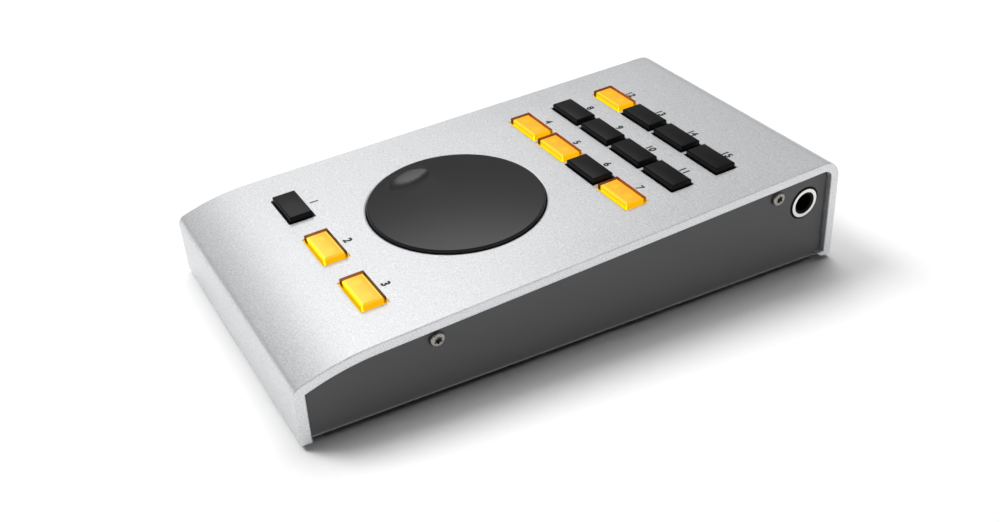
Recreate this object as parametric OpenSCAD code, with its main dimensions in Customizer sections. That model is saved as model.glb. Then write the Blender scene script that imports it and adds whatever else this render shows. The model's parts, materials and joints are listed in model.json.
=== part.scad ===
// Desktop remote control: an aluminium shell over a sheet metal tray, with a large dial,
// fifteen lit keys, a jack in the right side and a cable socket in the left side.
// Millimetres. +X is the user's right, +Y the rear, +Z up, and the feet stand on Z = 0.

/* [Shell] */
// Width of the shell, side to side
shell_w = 100; // [96:1:120]
// Length along the bottom edge, front wall to rear wall
base_len = 196.2; // [176:0.1:230]
// Height of the top face over the bottom edge, halfway along
mid_h = 31.4; // [29:0.1:40]
// Slope of the top face, rising to the rear, in degrees
tilt = 4.4; // [3:0.1:5.5]
// Thickness of the shell's walls
wall = 3.3; // [2.6:0.1:3.8]
// Forward lean of the front wall, in degrees
front_lean = 2.4; // [0:0.1:5]
// Forward lean of the rear wall, in degrees
rear_lean = 7.2; // [4:0.1:10]
// Radius of the gentle curve down to the front edge
nose_r = 72; // [60:1:120]
// Length of that curve along the top face
nose_len = 25; // [15:0.5:26]
// Radius of the front top edge
front_r = 3; // [1:0.1:5]
// Outer radius of the rear top edge
rear_r = 7.4; // [4:0.1:9]
// Inner radius of the rear top edge
rear_in_r = 3.8; // [1:0.1:5]
// Reach of the lip at the foot of the rear wall
lip_len = 3; // [2.8:0.1:6]
// Thickness of that lip
lip_t = 1.7; // [1.5:0.1:2.6]
// Slant of the lip's front edge
lip_slant = 2.2; // [0.5:0.1:2.4]

/* [Tray] */
// Depth of the side panels behind the shell's side edges
panel_recess = 2; // [2:0.1:3.5]
// Thickness of the sheet metal
sheet_t = 1.2; // [1:0.1:1.5]
// Outer radius of the bends along the bottom edges
bend_r = 0.4; // [0.3:0.1:1]
// Inner radius of those bends
bend_in_r = 0.5; // [0.2:0.1:1.5]
// Clearance between the tray and the shell
tray_gap = 0.3; // [0.1:0.05:0.5]
// Diameter of a rubber foot
foot_d = 12; // [8:0.5:16]
// Height of a rubber foot
foot_h = 1.5; // [1:0.1:4]
// Distance of the feet from the tray's edges
foot_in = 14; // [10:0.5:24]

/* [Side screws] */
// Thread diameter
screw_d = 2.5; // [2:0.1:2.6]
// Length under the head
screw_len = 9; // [6:0.5:14]
// Head diameter
screw_head_d = 4.7; // [4.2:0.1:5.2]
// Head height
screw_head_h = 1.4; // [1.3:0.1:1.9]
// Across the lobes of the driver recess
recess_d = 2.6; // [1.6:0.1:2.8]
// Depth of the driver recess
recess_depth = 1.1; // [0.6:0.1:1.2]
// Depth of the screws below the top face
screw_depth = 7.4; // [6.8:0.1:7.6]
// Front screws behind the front edge
screw_front_in = 43; // [42:0.1:43.6]
// Rear screws ahead of the rear edge
screw_rear_in = 24.9; // [24:0.1:26]
// Outer diameter of the shell's screw channels
channel_d = 5.8; // [5:0.1:6]

/* [Dial] */
// Diameter of the dial
dial_d = 57.1; // [50:0.1:58]
// Gap round the dial
dial_gap = 0.5; // [0.4:0.05:1]
// Height of the dial over the top face
dial_proud = 1; // [0.8:0.1:4]
// Radius of the dial's top edge
dial_edge_r = 0.6; // [0.2:0.1:0.8]
// Depth of the dial's rim, from its top
dial_depth = 6; // [5.5:0.1:6.7]
// Thickness of the dial's top skin
dial_skin = 3.2; // [2.6:0.1:3.6]
// Thickness of the dial's rim
dial_rim = 2.4; // [1.5:0.1:4]
// Diameter of the dial's hub
hub_d = 16; // [14:0.5:20]
// Dial axis behind the front edge
dial_in = 76.5; // [76:0.1:84]
// Length of the finger dimple, along the dial's rim
dimple_l = 16.4; // [10:0.2:20]
// Width of the finger dimple
dimple_w = 10.2; // [6:0.2:11]
// Depth of the finger dimple
dimple_depth = 1; // [0.6:0.1:1.8]
// Distance of the dimple's middle from the dial's rim
dimple_in = 8.4; // [7:0.1:12]
// Direction of the dimple at rest, in degrees from the right
dimple_turn = 200.7; // [0:0.1:360]

/* [Encoder] */
// Diameter of the encoder's shaft
shaft_d = 6; // [5:0.1:6.4]
// Running clearance round the shaft
shaft_gap = 0.05; // [0.02:0.01:0.09]
// Outer diameter of the brass insert in the dial
insert_d = 10; // [9:0.1:12]
// Length of the brass insert
insert_len = 5; // [4:0.1:5.4]
// How far the insert stands out under the dial
insert_out = 1; // [0.5:0.1:1.5]
// Thread diameter of the bushing
bush_d = 9; // [8:0.1:10]
// Height of the bushing over the board
bush_h = 3.2; // [3:0.1:3.6]
// Width of the encoder's housing
encoder_w = 14; // [13.6:0.1:16]
// Depth of the encoder's housing
encoder_h = 6; // [5.4:0.1:9]
// Thickness of the encoder's metal cover
cover_t = 1.2; // [0.8:0.1:1.6]
// Diameter of the rotor on the shaft
rotor_d = 9.6; // [8:0.1:10]
// Washer diameter
washer_d = 13; // [12.4:0.1:15]
// Washer thickness
washer_t = 0.5; // [0.3:0.1:0.8]
// Nut width across its corners
nut_d = 12.4; // [12:0.1:14]
// Nut height
nut_h = 2; // [1.6:0.1:2.2]

/* [Keys] */
// Length of a key cap, side to side
cap_l = 15.3; // [12:0.1:15.7]
// Width of a key cap, front to rear
cap_w = 7.7; // [6.8:0.1:9]
// Height of the caps over the top face
cap_proud = 1.9; // [1:0.05:3]
// Chamfer round a cap's top
cap_chamfer = 0.35; // [0.2:0.05:0.7]
// Reach of a cap's skirt past its upper part
cap_step = 0.5; // [0.3:0.05:0.7]
// Depth of the skirt's top below the top face
skirt_drop = 0.3; // [0.1:0.05:0.8]
// Thickness of a cap's side walls
cap_wall = 0.6; // [0.5:0.05:1.2]
// Thickness of a cap's roof
cap_roof = 0.5; // [0.4:0.05:0.9]
// Gap round a cap's skirt
key_gap = 0.25; // [0.2:0.05:0.45]
// Reach of the retaining flange past the key hole
flange_out = 0.8; // [0.5:0.1:1.5]
// Thickness of the retaining flange
flange_t = 0.8; // [0.6:0.1:1]
// Travel of a key
key_travel = 0.6; // [0.3:0.05:0.8]
// Most rows of keys behind the dial
rows = 3; // [1:1:3]
// Least web between the dial's hole and the nearest row's flanges
row_web = 2; // [1:0.5:8]
// Pitch of the key grid behind the dial
grid_pitch = 17.9; // [17.6:0.1:19]
// Pitch of the front row
front_pitch = 26.6; // [20:0.1:27]
// Front row behind the front edge
front_row_in = 31.5; // [30:0.1:32.6]
// Rear row ahead of the rear edge
rear_row_in = 35.5; // [34:0.1:36]
// Diameter of a key's plunger
stem_d = 3.3; // [2.8:0.1:3.6]
// Clearance round the plunger
stem_gap = 0.15; // [0.1:0.01:0.2]
// Width of a switch housing
switch_w = 6; // [5.6:0.1:7]
// Height of a switch housing
switch_h = 4.2; // [4:0.1:4.6]
// Distance of the lamps from a key's middle
led_at = 4.8; // [4.6:0.1:6.2]

/* [Board] */
// Depth of the board's upper face below the top face
board_depth = 11.4; // [11:0.1:12]
// Thickness of the board
board_t = 1.6; // [1.2:0.1:2]
// Gap between the board and the side panels
board_side_gap = 1.2; // [0.6:0.1:2]
// Board past the front row of keys
board_front = 12; // [8:0.5:16]
// Gap between the board and the rear wall
board_rear_gap = 2.2; // [1.8:0.1:4]
// Diameter of a board post
post_d = 5.5; // [5:0.1:5.8]
// Depth of a post's end in the top face
post_seat = 1.6; // [1:0.1:1.8]
// Thread diameter of the board screws
board_screw_d = 3; // [2.5:0.1:3.2]
// Distance of the posts from the board's side edges
post_in = 4.2; // [3.8:0.1:4.6]

/* [Sockets] */
// Bore of the jack, for a 6.35 mm plug
jack_bore_d = 6.5; // [6.4:0.05:6.8]
// Diameter of the jack's mouth
jack_mouth_d = 8.1; // [7.4:0.1:8.8]
// Outer diameter of the bright sleeve
sleeve_d = 10.4; // [9.6:0.1:10.8]
// Length of the bright sleeve
sleeve_len = 9; // [6:0.5:14]
// Depth of the jack's black liner behind the sleeve's end
liner_in = 0.5; // [0.3:0.1:1.5]
// How far the sleeve stands out of the side panel
sleeve_proud = 0.3; // [0.1:0.1:1]
// Wall of the black collar round the sleeve
collar_wall = 0.5; // [0.4:0.1:1.2]
// Width of the jack's housing
jack_w = 13.6; // [13:0.1:14]
// Length of the jack's housing
jack_len = 32; // [30:0.5:34]
// Jack ahead of the rear edge
jack_rear_in = 12.2; // [12:0.1:12.6]
// Depth of the jack below the top face
jack_depth = 13.9; // [13.4:0.1:14.6]
// Width of the cable socket
socket_w = 12; // [11.6:0.1:12.6]
// Height of the cable socket
socket_h = 10.8; // [10.4:0.1:11.6]
// Length of the cable socket
socket_len = 16; // [14:0.5:18]
// Width of the socket's mouth
mouth_w = 8.5; // [8.4:0.05:8.8]
// Height of the socket's mouth
mouth_h = 7.8; // [7.7:0.05:8]
// Depth of the socket's mouth
mouth_depth = 9.5; // [8.5:0.1:10.5]

/* [Hidden] */
$fn = 64;
FRONT_KEYS = 3;
COLS = 4;
SIDES = [-1, 1];
ARC_STEPS = 12;
// Clearance of pieces that are fixed together
fit = 0.03;
// Overlap that lets a cut pass through a face, or joins two shapes
cut = 1;
// Running gap between a moving piece and a flat face
flat_gap = 0.25;
// Clearance round a screw in its hole, and round a plug inside the jack
loose = 0.2;

// Places along the top face, from its middle, and the leans of the walls from its normal
front_rel = front_lean - tilt;
rear_rel = rear_lean - tilt;
front_s = -(base_len / 2 + mid_h * tan(front_lean)) / (1 + tan(tilt) * tan(front_lean)) / cos(tilt);
rear_s = (base_len / 2 - mid_h * tan(rear_lean)) / (1 + tan(tilt) * tan(rear_lean)) / cos(tilt);
nose = [front_s + nose_len, -nose_r];
front_row_s = front_s + front_row_in;
dial_s = front_s + dial_in;
rear_row_s = rear_s - rear_row_in;
screw_s = [front_s + screw_front_in, rear_s - screw_rear_in];
jack_s = rear_s - jack_rear_in;
below = 2 * mid_h;

// The front edge's round, and the middle of the whole length at its widest
front_round = front_centre(0, front_r);
front_y = front_round[0] * cos(tilt) - front_round[1] * sin(tilt) - front_r;
y_mid = (front_y + base_len / 2) / 2;

// Side panels and board
panel_x = shell_w / 2 - panel_recess;
inner_x = panel_x - sheet_t;
board_x = inner_x - board_side_gap;
board_top = -board_depth;
board_under = board_top - board_t;
board_front_s = front_row_s - board_front;
board_rear_s = rear_at(board_top, wall) - board_rear_gap;
lip_front = rear_inner_y(lip_t) - lip_len;
post_x = board_x - post_in;
post_s = [front_row_s, dial_s + dial_d / 2, rear_row_s];

// Dial and encoder, along the dial's axis
dial_hole_r = dial_d / 2 + dial_gap;
dial_foot = dial_proud - dial_depth;
insert_top = dial_foot + insert_len - insert_out;
shaft_top = insert_top - fit;
cover_under = board_under - cover_t;
encoder_under = cover_under - encoder_h;
rotor_top = cover_under - flat_gap;
rotor_t = 1.2;
encoder_floor = 1.6;
cavity_depth = encoder_h - encoder_floor;
dimple_at = dial_d / 2 - dimple_in;
dimple_bow_r = (dimple_l * dimple_l / 4 + dimple_depth * dimple_depth) / (2 * dimple_depth);
dimple_tool_r = (dimple_w * dimple_w / 4 + dimple_depth * dimple_depth) / (2 * dimple_depth);

// Keys, along the normal of the top face
skirt_l = cap_l + 2 * cap_step;
hole_l = skirt_l + 2 * key_gap;
hole_w = cap_w + 2 * cap_step + 2 * key_gap;
flange_w = hole_w + 2 * flange_out;
flange_top = -wall - flat_gap;
cap_foot = flange_top - flange_t;
block_l = cap_l - 2 * cap_wall;
block_w = cap_w - 2 * cap_wall;
block_top = cap_proud - cap_roof;
switch_floor = 0.8;
dome_t = 0.25;
dome_gap = 0.1;
dome_top = board_top + switch_floor + dome_t;
stem_foot = dome_top + key_travel + dome_gap;
led_size = [2, 1.3, 0.8];

// Rows of keys that the room behind the dial takes, and the number of keys with the front row
rows_room = rear_row_s - dial_s - dial_hole_r - row_web - flange_w / 2;
ROWS = min(rows, 1 + floor(rows_room / grid_pitch));
KEYS = FRONT_KEYS + COLS * ROWS;

// Jack and cable socket
jack_ear = [8, 2, 1];
jack_back = 2;
jack_top = -jack_depth + jack_w / 2;
sleeve_back = panel_x + sleeve_proud - sleeve_len;
collar_d = sleeve_d + 2 * collar_wall;
lug_size = [1.6, 2, 0.4];
socket_top = board_under;
socket_mid = socket_top - socket_h / 2;
socket_gap = 0.3;
socket_back = 1;
tongue_size = [7.4, 5.6, 3.2];
contact_size = [6, 1, 0.2];

// Small parts
post_end_d = 4;
post_blind = 2;
head_h = 2;
head_recess = 1;
screw_short = 3;
chip_size = [14, 14, 1.4];
crystal_size = [11, 4.6, 3.6];
foot_hole_d = 3.4;
foot_hole_depth = 0.8;

// Points of an arc about a centre, from one angle to another
function arc(centre, r, from, to) =
    [for (i = [0:ARC_STEPS]) centre + r * [cos(from + (to - from) * i / ARC_STEPS),
                                           sin(from + (to - from) * i / ARC_STEPS)]];

// Place of the front wall and the rear wall at a height over the top face, drawn in by inset
function front_at(h, inset) = front_s + inset / cos(front_rel) - h * tan(front_rel);
function rear_at(h, inset) = rear_s - inset / cos(rear_rel) - h * tan(rear_rel);

// Centre of the round between the front wall and the nose curve
function front_centre(inset, r) =
    let (up = [-sin(front_rel), cos(front_rel)],
         start = [front_at(-inset, inset), -inset] + r * [cos(front_rel), sin(front_rel)],
         w = start - nose,
         along = w * up)
    start + up * (sqrt(along * along - w * w + pow(nose_r - inset - r, 2)) - along);

// Centre of the round between the top face and the rear wall
function rear_centre(inset, r) = [rear_at(-inset - r, inset) - r / cos(rear_rel), -inset - r];

// Inner face of the rear wall at a height over the bottom edge
function rear_inner_y(z) = base_len / 2 - z * tan(rear_lean) - wall / cos(rear_lean);

// Place of a key on the top face: the front row first, then the grid from the dial to the rear
function key_place(i) = i < FRONT_KEYS
    ? [(i - (FRONT_KEYS - 1) / 2) * front_pitch, front_row_s, 0]
    : [((i - FRONT_KEYS) % COLS - (COLS - 1) / 2) * grid_pitch,
       rear_row_s - (ROWS - 1 - floor((i - FRONT_KEYS) / COLS)) * grid_pitch, 0];

// Frames: the shell's bottom edge, the top face, and one key
module in_frame() translate([0, -y_mid, foot_h]) children();
module on_top() in_frame() translate([0, 0, mid_h]) rotate([tilt, 0, 0]) children();
module at_key(i) on_top() translate(key_place(i)) children();
module at_dial() on_top() translate([0, dial_s, 0]) children();
module at_posts() on_top() for (side = SIDES) for (s = post_s) translate([side * post_x, s, 0]) children();
module at_screw(side, s) on_top() translate([0, s, -screw_depth]) rotate([0, side * 90, 0]) children();
module at_jack() on_top() translate([0, jack_s, -jack_depth]) rotate([0, 90, 0]) children();
module at_socket() on_top() translate([-panel_x, jack_s, socket_mid]) children();

// Draws an outline in Y and Z and pulls it out along X, to both sides
module along_x(len) rotate([90, 0, 90]) linear_extrude(height = len, center = true) children();

// A block that stands on a level, centred in X and Y
module block(size, level = 0) translate([-size[0] / 2, -size[1] / 2, level]) cube(size);

// Cross-section of the case, drawn in by inset, above its bottom edge
module case_section(inset, front_round_r, rear_round_r) {
    c = front_centre(inset, front_round_r);
    nose_angle = atan2(c[1] - nose[1], c[0] - nose[0]);
    front_arc = front_round_r > 0 ? arc(c, front_round_r, 180 + front_rel, nose_angle) : [];
    points = concat(
        [[front_at(-below, inset), -below]],
        front_arc,
        arc(nose, nose_r - inset, nose_angle, 90),
        arc(rear_centre(inset, rear_round_r), rear_round_r, 90, rear_rel),
        [[rear_at(-below, inset), -below]]);
    intersection() {
        translate([0, mid_h]) rotate(tilt) polygon(points);
        translate([-base_len, 0]) square(2 * base_len);
    }
}

// Cross-section of the lip at the foot of the rear wall
module lip_section() {
    polygon([[lip_front, lip_t], [lip_front + lip_slant, 0],
             [rear_inner_y(0) + wall / 2, 0], [rear_inner_y(lip_t) + wall / 2, lip_t]]);
}

// Channel under the top face that the side screws bite into
module screw_channel(s) {
    length = 2 * inner_x - 2 * tray_gap;
    on_top() translate([0, s, -screw_depth]) {
        along_x(length) circle(d = channel_d);
        along_x(length) translate([-channel_d / 2, 0]) square([channel_d, screw_depth - wall / 2]);
    }
}

module top_shell() {
    color("silver") difference() {
        union() {
            in_frame() along_x(shell_w) {
                difference() {
                    case_section(0, front_r, rear_r);
                    case_section(wall, 0, rear_in_r);
                }
                lip_section();
            }
            for (s = screw_s) screw_channel(s);
        }
        for (s = screw_s) on_top() translate([0, s, -screw_depth])
            along_x(shell_w) circle(d = screw_d + 2 * fit);
        at_dial() translate([0, 0, -wall - cut]) cylinder(r = dial_hole_r, h = wall + 2 * cut);
        for (i = [0:KEYS - 1]) at_key(i) block([hole_l, hole_w, wall + 2 * cut], -wall - cut);
        at_posts() translate([0, 0, -wall - cut]) cylinder(d = post_end_d + 2 * fit, h = post_seat + cut);
        for (side = SIDES) in_frame() translate([side * (panel_x + inner_x) / 2, 0, 0]) lip_slot();
    }
}

// Slot in the lip that lets a side panel run on to the rear wall
module lip_slot() {
    width = sheet_t + 2 * tray_gap;
    translate([-width / 2, lip_front - cut, -cut])
        cube([width, rear_inner_y(0) - lip_front + cut, lip_t + 2 * cut]);
}

// Cross-section of the tray: a bottom with bent-up sides
module tray_section() {
    high = 2 * mid_h;
    right = [panel_x - bend_r, bend_r];
    left = [-right[0], bend_r];
    right_in = [inner_x - bend_in_r, sheet_t + bend_in_r];
    left_in = [-right_in[0], right_in[1]];
    polygon(concat(
        [[panel_x, high]], arc(right, bend_r, 0, -90), arc(left, bend_r, -90, -180),
        [[-panel_x, high], [-inner_x, high]],
        arc(left_in, bend_in_r, -180, -90), arc(right_in, bend_in_r, -90, 0),
        [[inner_x, high]]));
}

module base_tray() {
    color("#484848") difference() {
        in_frame() intersection() {
            along_x(shell_w) case_section(wall + tray_gap, 0, rear_in_r - tray_gap);
            rotate([90, 0, 0]) linear_extrude(height = 2 * base_len, center = true) tray_section();
        }
        in_frame() along_x(2 * inner_x)
            translate([lip_front - tray_gap, -cut]) square([base_len, lip_t + tray_gap + cut]);
        for (side = SIDES) for (s = screw_s) at_screw(side, s)
            translate([0, 0, inner_x - cut]) cylinder(d = screw_d + 2 * loose, h = sheet_t + 2 * cut);
        at_jack() translate([0, 0, inner_x - cut])
            cylinder(d = collar_d + 2 * tray_gap, h = sheet_t + 2 * cut);
        at_socket() translate([0, 0, -socket_h / 2])
            block([2 * (sheet_t + cut), socket_w + 2 * socket_gap, socket_h + socket_gap], -socket_gap / 2);
    }
}

module main_board() {
    color("darkgreen") difference() {
        on_top() translate([-board_x, board_front_s, board_under])
            cube([2 * board_x, board_rear_s - board_front_s, board_t]);
        at_dial() translate([0, 0, board_under - cut]) cylinder(d = bush_d + 2 * fit, h = board_t + 2 * cut);
        at_posts() translate([0, 0, board_under - cut])
            cylinder(d = board_screw_d + 2 * fit, h = board_t + 2 * cut);
        on_top() translate([inner_x - jack_len - socket_gap, jack_s - jack_w / 2 - socket_gap, 0])
            translate([0, 0, board_under - cut]) cube([jack_len + cut, base_len, board_t + 2 * cut]);
    }
}

module board_posts() {
    color("gainsboro") at_posts() difference() {
        union() {
            translate([0, 0, board_top]) cylinder(d = post_d, h = board_depth - wall);
            translate([0, 0, -wall]) cylinder(d = post_end_d, h = post_seat);
        }
        translate([0, 0, board_top - cut])
            cylinder(d = board_screw_d + 2 * fit, h = board_depth - wall - post_blind + cut);
    }
}

module board_screws() {
    length = board_t + board_depth - wall - screw_short;
    color("dimgray") at_posts() difference() {
        union() {
            translate([0, 0, board_under - head_h]) cylinder(d = post_d, h = head_h);
            translate([0, 0, board_under]) cylinder(d = board_screw_d, h = length);
        }
        six_lobe(board_under - head_h, head_recess);
    }
}

// Six-lobe driver recess, cut upwards from a level
module six_lobe(level, depth) {
    lobe_d = recess_d / 3;
    translate([0, 0, level - cut]) {
        cylinder(d = recess_d - lobe_d, h = depth + cut);
        for (turn = [0:60:300]) rotate(turn) translate([(recess_d - lobe_d) / 2, 0, 0])
            cylinder(d = lobe_d, h = depth + cut);
    }
}

module switch_housings() {
    color("#202020") for (i = [0:KEYS - 1]) at_key(i) difference() {
        block([switch_w, switch_w, switch_h], board_top);
        translate([0, 0, board_top + switch_floor]) cylinder(d = stem_d + 2 * stem_gap, h = switch_h);
    }
}

module switch_domes() {
    color("gold") for (i = [0:KEYS - 1]) at_key(i)
        translate([0, 0, board_top + switch_floor]) cylinder(d = stem_d, h = dome_t);
}

module key_leds() {
    color("lightyellow") for (i = [0:KEYS - 1]) for (side = SIDES) at_key(i)
        translate([side * led_at, 0, 0]) block(led_size, board_top);
}

module encoder_body() {
    color("#303030") at_dial() difference() {
        block([encoder_w, encoder_w, encoder_h], encoder_under);
        translate([0, 0, cover_under - cavity_depth])
            cylinder(d = rotor_d + 4 * flat_gap, h = cavity_depth + cut);
    }
}

module encoder_bushing() {
    color("lightgray") at_dial() difference() {
        union() {
            block([encoder_w, encoder_w, cover_t], cover_under);
            translate([0, 0, cover_under]) cylinder(d = bush_d, h = cover_t + board_t + bush_h);
        }
        translate([0, 0, cover_under - cut])
            cylinder(d = shaft_d + 2 * shaft_gap, h = cover_t + board_t + bush_h + 2 * cut);
    }
}

module encoder_washer() {
    color("lightgray") at_dial() translate([0, 0, board_top]) difference() {
        cylinder(d = washer_d, h = washer_t);
        translate([0, 0, -cut]) cylinder(d = bush_d + 2 * fit, h = washer_t + 2 * cut);
    }
}

module encoder_nut() {
    color("lightgray") at_dial() translate([0, 0, board_top + washer_t]) difference() {
        cylinder(d = nut_d, h = nut_h, $fn = 6);
        translate([0, 0, -cut]) cylinder(d = bush_d + 2 * fit, h = nut_h + 2 * cut);
    }
}

module encoder_shaft() {
    shaft_foot = rotor_top - rotor_t;
    color("lightgray") at_dial() {
        translate([0, 0, shaft_foot]) cylinder(d = shaft_d, h = shaft_top - shaft_foot);
        translate([0, 0, shaft_foot]) cylinder(d = rotor_d, h = rotor_t);
    }
}

module dial_insert() {
    color("goldenrod") at_dial() translate([0, 0, insert_top - insert_len]) difference() {
        cylinder(d = insert_d, h = insert_len);
        translate([0, 0, -cut]) cylinder(d = shaft_d + 2 * fit, h = insert_len + 2 * cut);
    }
}

// Half outline of the dial, from its axis to its rim
module dial_section() {
    r = dial_d / 2;
    under_skin = dial_proud - dial_skin;
    polygon(concat(
        [[0, insert_top], [insert_d / 2 + fit, insert_top], [insert_d / 2 + fit, dial_foot],
         [hub_d / 2, dial_foot], [hub_d / 2, under_skin], [r - dial_rim, under_skin],
         [r - dial_rim, dial_foot], [r, dial_foot]],
        arc([r - dial_edge_r, dial_proud - dial_edge_r], dial_edge_r, 0, 90),
        [[0, dial_proud]]));
}

// Half outline of the barrel-shaped cutter that leaves the dimple, from its axis to its bow
module dimple_section() {
    half = 1.1 * asin(dimple_l / 2 / dimple_bow_r);
    end = dimple_bow_r * sin(half);
    polygon(concat([[0, -end]], arc([dimple_tool_r - dimple_bow_r, 0], dimple_bow_r, -half, half), [[0, end]]));
}

module volume_dial() {
    color("#3c3c3c") at_dial() difference() {
        rotate_extrude($fn = 180) dial_section();
        rotate(dimple_turn) translate([dimple_at, 0, dial_proud + dimple_tool_r - dimple_depth])
            rotate([90, 0, 0]) rotate_extrude($fn = 180) dimple_section();
    }
}

module jack_body() {
    ear_x = inner_x - jack_len / 2;
    color("#181818") difference() {
        union() {
            difference() {
                union() {
                    on_top() translate([inner_x - jack_len, jack_s - jack_w / 2, jack_top - jack_w])
                        cube([jack_len - fit, jack_w, jack_w]);
                    on_top() translate([ear_x - jack_ear[0] / 2, jack_s - jack_w / 2 - jack_ear[1], board_top])
                        cube([jack_ear[0], jack_ear[1] + cut, jack_ear[2]]);
                    at_jack() translate([0, 0, inner_x - cut]) cylinder(d = collar_d, h = sheet_t + cut);
                }
                at_jack() translate([0, 0, sleeve_back]) cylinder(d = sleeve_d + 2 * fit, h = sleeve_len + cut);
            }
            at_jack() translate([0, 0, sleeve_back - cut])
                cylinder(d = jack_mouth_d - 2 * fit, h = sleeve_len - liner_in + cut);
        }
        at_jack() translate([0, 0, inner_x - jack_len + jack_back]) cylinder(d = jack_bore_d, h = jack_len);
    }
}

module jack_sleeve() {
    color("white") at_jack() translate([0, 0, sleeve_back]) difference() {
        cylinder(d = sleeve_d, h = sleeve_len);
        translate([0, 0, -cut]) cylinder(d = jack_mouth_d, h = sleeve_len + 2 * cut);
    }
}

module jack_lugs() {
    step = 3 * lug_size[0];
    first_x = inner_x - jack_len + 2 * lug_size[0];
    color("gold") on_top() for (i = [0:1])
        translate([first_x + i * step, jack_s - jack_w / 2 - lug_size[1], board_top]) cube(lug_size);
}

module cable_socket_shell() {
    color("silver") at_socket() translate([socket_len / 2, 0, 0]) difference() {
        block([socket_len, socket_w, socket_h], -socket_h / 2);
        translate([-socket_back, 0, 0]) block([socket_len, mouth_w, mouth_h], -mouth_h / 2);
    }
}

module cable_socket_insert() {
    back = socket_len - socket_back - mouth_depth;
    color("white") at_socket() {
        translate([mouth_depth + back / 2, 0, 0])
            block([back - fit, mouth_w - 2 * fit, mouth_h - 2 * fit], -mouth_h / 2 + fit);
        translate([mouth_depth - tongue_size[0] / 2 + cut, 0, 0]) block(tongue_size, -tongue_size[2] / 2);
    }
}

module cable_socket_contacts() {
    spread = tongue_size[1] / 4;
    color("gold") at_socket() for (side = SIDES) for (up = [0, 1]) mirror([0, 0, up])
        translate([mouth_depth - contact_size[0] / 2, side * spread, 0])
            block(contact_size, tongue_size[2] / 2);
}

module controller_chip() {
    color("#202020") on_top() translate([0, rear_row_s - grid_pitch, 0])
        block(chip_size, board_under - chip_size[2]);
}

module crystal_can() {
    color("silver") on_top() translate([0, rear_row_s - 2 * grid_pitch, 0])
        block(crystal_size, board_under - crystal_size[2]);
}

module side_screws() {
    color("darkgray") for (side = SIDES) for (s = screw_s) at_screw(side, s) difference() {
        union() {
            translate([0, 0, panel_x - screw_len]) cylinder(d = screw_d, h = screw_len);
            translate([0, 0, panel_x]) cylinder(d = screw_head_d, h = screw_head_h);
        }
        translate([0, 0, panel_x + screw_head_h]) mirror([0, 0, 1]) six_lobe(0, recess_depth);
    }
}

module rubber_feet() {
    front_foot = front_at(-mid_h, wall) + foot_in;
    rear_foot = lip_front - foot_in;
    color("#101010") for (side = SIDES) for (y = [front_foot, rear_foot])
        in_frame() translate([side * (panel_x - foot_in), y, -foot_h]) difference() {
            cylinder(d = foot_d, h = foot_h);
            translate([0, 0, -cut]) cylinder(d = foot_hole_d, h = foot_hole_depth + cut);
        }
}

// Cross-section of a cap of one length or width
module cap_section(size) {
    skirt = size / 2 + cap_step;
    shoulder = cap_proud - cap_chamfer;
    right = [[skirt, cap_foot], [skirt, -skirt_drop], [size / 2, -skirt_drop], [size / 2, shoulder],
             [size / 2 - cap_chamfer, cap_proud]];
    last = len(right) - 1;
    polygon(concat(right, [for (i = [0:last]) [-right[last - i][0], right[last - i][1]]]));
}

module key_cap(i) {
    color("#282828") at_key(i) difference() {
        union() {
            intersection() {
                along_x(skirt_l) cap_section(cap_w);
                rotate(90) along_x(hole_w) cap_section(cap_l);
            }
            block([skirt_l, flange_w, flange_t], cap_foot);
        }
        block([block_l, block_w, block_top - cap_foot + cut], cap_foot - cut);
    }
}

module key_stem(i) {
    color("orange") at_key(i) {
        block([block_l - 2 * fit, block_w - 2 * fit, block_top - cap_foot], cap_foot);
        translate([0, 0, stem_foot]) cylinder(d = stem_d, h = cap_foot - stem_foot + cut);
    }
}

top_shell();
base_tray();
main_board();
board_posts();
board_screws();
switch_housings();
switch_domes();
key_leds();
encoder_body();
encoder_bushing();
encoder_washer();
encoder_nut();
encoder_shaft();
dial_insert();
volume_dial();
jack_body();
jack_sleeve();
jack_lugs();
cable_socket_shell();
cable_socket_insert();
cable_socket_contacts();
controller_chip();
crystal_can();
side_screws();
rubber_feet();
for (i = [0:KEYS - 1]) key_cap(i);
for (i = [0:KEYS - 1]) key_stem(i);
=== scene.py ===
"""A desktop remote control with a large dial and fifteen keys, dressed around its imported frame."""

import json
from math import asin, atan2, cos, pi, radians, sin

import bmesh
import bpy
from mathutils import Matrix, Vector


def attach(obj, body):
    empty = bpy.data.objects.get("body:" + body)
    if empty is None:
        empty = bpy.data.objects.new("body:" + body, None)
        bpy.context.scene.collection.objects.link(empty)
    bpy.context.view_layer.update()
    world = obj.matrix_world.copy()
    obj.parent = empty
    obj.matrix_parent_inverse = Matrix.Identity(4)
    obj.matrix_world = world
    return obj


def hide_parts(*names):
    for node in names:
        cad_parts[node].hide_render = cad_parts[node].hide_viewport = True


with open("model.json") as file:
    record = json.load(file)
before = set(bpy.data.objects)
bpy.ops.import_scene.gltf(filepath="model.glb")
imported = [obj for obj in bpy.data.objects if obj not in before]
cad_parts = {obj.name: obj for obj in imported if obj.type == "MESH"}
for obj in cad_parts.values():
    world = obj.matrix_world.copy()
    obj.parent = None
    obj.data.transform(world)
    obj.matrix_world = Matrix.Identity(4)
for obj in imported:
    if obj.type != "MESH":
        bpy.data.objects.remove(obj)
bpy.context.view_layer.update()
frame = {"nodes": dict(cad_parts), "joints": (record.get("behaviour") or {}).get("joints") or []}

# Units and tolerances
MM = 0.001
TINY = 0.001 * MM
SMOOTH_ANGLE = radians(20)
NOISE_LIMITS = (0.3, 0.7)

# Keys that are lit, counted from the left in the front row, then row by row to the rear
LIT_KEYS = (2, 3, 4, 5, 7, 12)

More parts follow.
